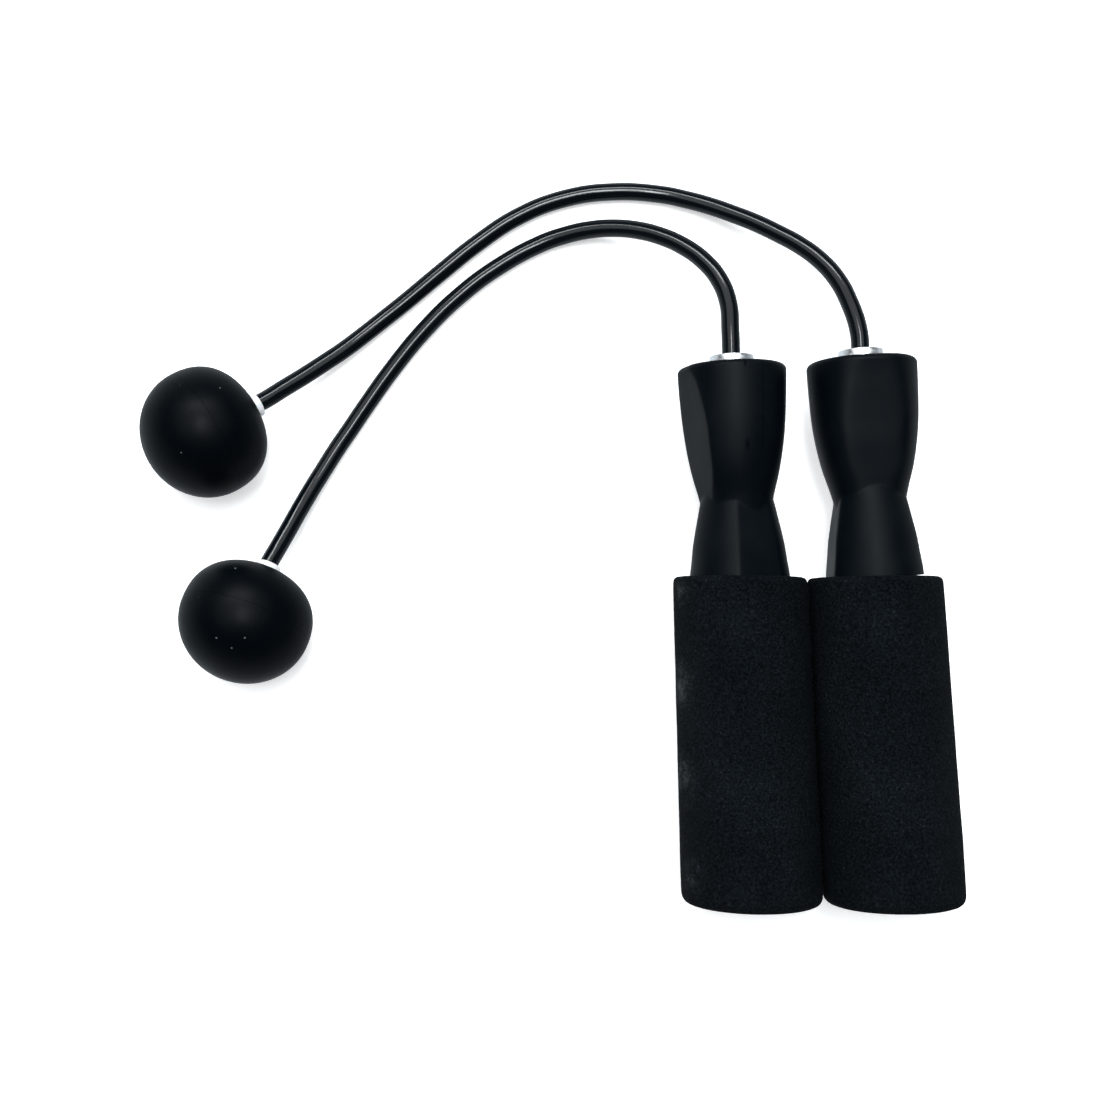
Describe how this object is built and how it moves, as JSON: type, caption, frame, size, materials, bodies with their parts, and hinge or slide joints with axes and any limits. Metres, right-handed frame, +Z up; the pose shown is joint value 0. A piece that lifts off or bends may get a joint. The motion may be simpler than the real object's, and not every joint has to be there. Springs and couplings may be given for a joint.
{
  "type": "jump rope",
  "caption": "Cordless jump rope: foam-covered handles with bearing necks, each spinning a short cord that ends in a weighted ball.",
  "frame": {"origin": "on the floor, below the middle of the box round the handles and balls", "axes": "+X across the pair, from the balls to the handles; +Y along the handles towards the bearings; +Z up from the floor"},
  "size_m": [0.2406, 0.2173, 0.0409],
  "materials": {
    "foam": "matte closed-cell foam",
    "handle_plastic": "satin moulded plastic",
    "bearing_steel": "polished",
    "crimp_brass": "satin",
    "cord_pvc": "gloss",
    "collar_nylon": "satin",
    "ball_plastic": "matte",
    "weight_steel": "matte"
  },
  "bodies": {
    "left_handle": {"left_foam_grip": "foam", "left_handle_core": "handle_plastic", "left_end_plug": "handle_plastic", "left_bearing_outer_race": "bearing_steel", "left_bearing_shield_front": "bearing_steel", "left_bearing_shield_rear": "bearing_steel"},
    "left_rotor": {"left_bearing_inner_race": "bearing_steel", "left_stop_washer": "bearing_steel", "left_stop_crimp": "crimp_brass", "left_cord": "cord_pvc", "left_ball_collar": "collar_nylon", "left_ball_crimp": "crimp_brass"},
    "left_cage": {"left_bearing_cage": "bearing_steel", "left_bearing_ball_1": "bearing_steel", "left_bearing_ball_2": "bearing_steel", "left_bearing_ball_3": "bearing_steel", "left_bearing_ball_4": "bearing_steel", "left_bearing_ball_5": "bearing_steel", "left_bearing_ball_6": "bearing_steel", "left_bearing_ball_7": "bearing_steel"},
    "left_weight": {"left_ball_half_near": "ball_plastic", "left_ball_half_far": "ball_plastic", "left_ball_weight": "weight_steel"},
    "right_handle": {"right_foam_grip": "foam", "right_handle_core": "handle_plastic", "right_end_plug": "handle_plastic", "right_bearing_outer_race": "bearing_steel", "right_bearing_shield_front": "bearing_steel", "right_bearing_shield_rear": "bearing_steel"},
    "right_rotor": {"right_bearing_inner_race": "bearing_steel", "right_stop_washer": "bearing_steel", "right_stop_crimp": "crimp_brass", "right_cord": "cord_pvc", "right_ball_collar": "collar_nylon", "right_ball_crimp": "crimp_brass"},
    "right_cage": {"right_bearing_cage": "bearing_steel", "right_bearing_ball_1": "bearing_steel", "right_bearing_ball_2": "bearing_steel", "right_bearing_ball_3": "bearing_steel", "right_bearing_ball_4": "bearing_steel", "right_bearing_ball_5": "bearing_steel", "right_bearing_ball_6": "bearing_steel", "right_bearing_ball_7": "bearing_steel"},
    "right_weight": {"right_ball_half_near": "ball_plastic", "right_ball_half_far": "ball_plastic", "right_ball_weight": "weight_steel"}
  },
  "joints": [
    {"name": "right_unit_lift", "type": "slide", "parent": "left_handle", "child": "right_handle", "axis": [0, 0, 1], "range_m": [0, 0.1]},
    {"name": "left_cord_spin", "type": "hinge", "parent": "left_handle", "child": "left_rotor", "pos_m": [0.0587, -0.07945, 0.02035], "axis": [-0.0318, 0.9995, 0], "continuous": true, "deforming": ["left_cord"]},
    {"name": "left_cage_spin", "type": "hinge", "parent": "left_handle", "child": "left_cage", "pos_m": [0.0587, -0.07945, 0.02035], "axis": [-0.0318, 0.9995, 0], "continuous": true},
    {"name": "left_ball_swivel", "type": "hinge", "parent": "left_rotor", "child": "left_weight", "pos_m": [-0.08915, 0.0021, 0.01935], "axis": [0.2904, 0.8937, -0.342], "continuous": true},
    {"name": "right_cord_spin", "type": "hinge", "parent": "right_handle", "child": "right_rotor", "pos_m": [0.1, -0.07945, 0.02035], "axis": [-0.0515, 0.9987, 0], "continuous": true, "deforming": ["right_cord"]},
    {"name": "right_cage_spin", "type": "hinge", "parent": "right_handle", "child": "right_cage", "pos_m": [0.1, -0.07945, 0.02035], "axis": [-0.0515, 0.9987, 0], "continuous": true},
    {"name": "right_ball_swivel", "type": "hinge", "parent": "right_rotor", "child": "right_weight", "pos_m": [-0.1019, 0.05759, 0.01935], "axis": [0.7881, 0.5118, -0.342], "continuous": true}
  ],
  "couplings": [
    {"joint": "left_cage_spin", "follows": "left_cord_spin", "ratio": 0.41053},
    {"joint": "right_cage_spin", "follows": "right_cord_spin", "ratio": 0.41053}
  ]
}
